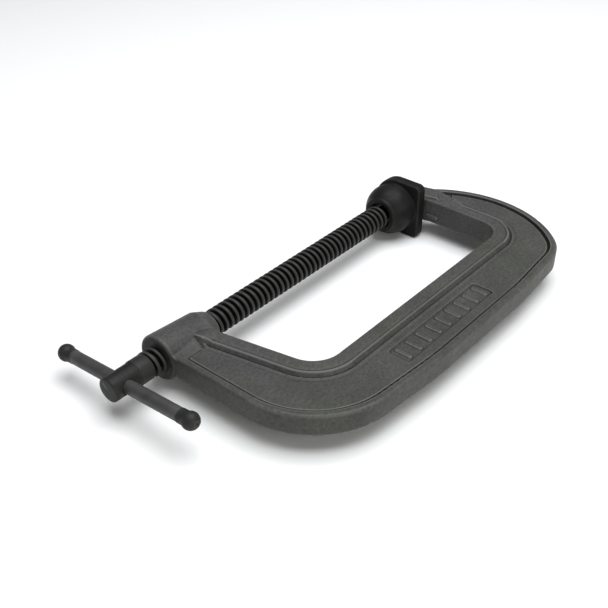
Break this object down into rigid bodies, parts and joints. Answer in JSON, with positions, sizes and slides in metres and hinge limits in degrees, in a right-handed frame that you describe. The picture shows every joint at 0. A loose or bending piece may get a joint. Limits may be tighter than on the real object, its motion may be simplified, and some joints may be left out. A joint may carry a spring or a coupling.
{
  "type": "c clamp",
  "caption": "Carpenter's C-clamp: cast C frame with tapped boss, Acme screw with sliding tee bar, and a swivel pad that closes on the anvil.",
  "frame": {"origin": "middle of the anvil's gripping face, where the screw's axis meets it", "axes": "+X along the screw from the handle to the anvil, -Y from the screw towards the spine of the C, +Z square to the plane of the C, which lies flat"},
  "size_m": [0.3861, 0.222, 0.0504],
  "materials": {
    "frame_iron": "cast skin under a thin dark grey enamel, satin",
    "screw_steel": "black oxide, lightly oiled",
    "pad_steel": "black oxide on a forged skin",
    "bar_steel": "black oxide, satin",
    "spring_steel": "plain spring steel, oiled"
  },
  "bodies": {
    "frame": {"frame": "frame_iron"},
    "pad_seat": {"pad_retaining_ring": "spring_steel"},
    "spindle": {"spindle": "screw_steel"},
    "pad": {"swivel_pad": "pad_steel"},
    "handle": {"handle_bar": "bar_steel", "handle_end_outer": "bar_steel", "handle_end_inner": "bar_steel"}
  },
  "joints": [
    {"name": "screw_feed", "type": "slide", "parent": "frame", "child": "pad_seat", "axis": [1, 0, 0], "range_m": [-0.2008, 0.0025]},
    {"name": "screw_turn", "type": "hinge", "parent": "pad_seat", "child": "spindle", "pos_m": [-0.2, 0, 0], "axis": [1, 0, 0], "range_deg": [-12800.55, 159.4]},
    {"name": "pad_turn", "type": "hinge", "parent": "pad_seat", "child": "pad", "pos_m": [-0.0175, 0, 0], "axis": [1, 0, 0], "continuous": true},
    {"name": "handle_slide", "type": "slide", "parent": "spindle", "child": "handle", "axis": [0, 0.9972, -0.075], "range_m": [-0.0399, 0.0489]}
  ],
  "couplings": [
    {"joint": "screw_feed", "follows": "screw_turn", "m_per_rad": 0.00089834}
  ]
}
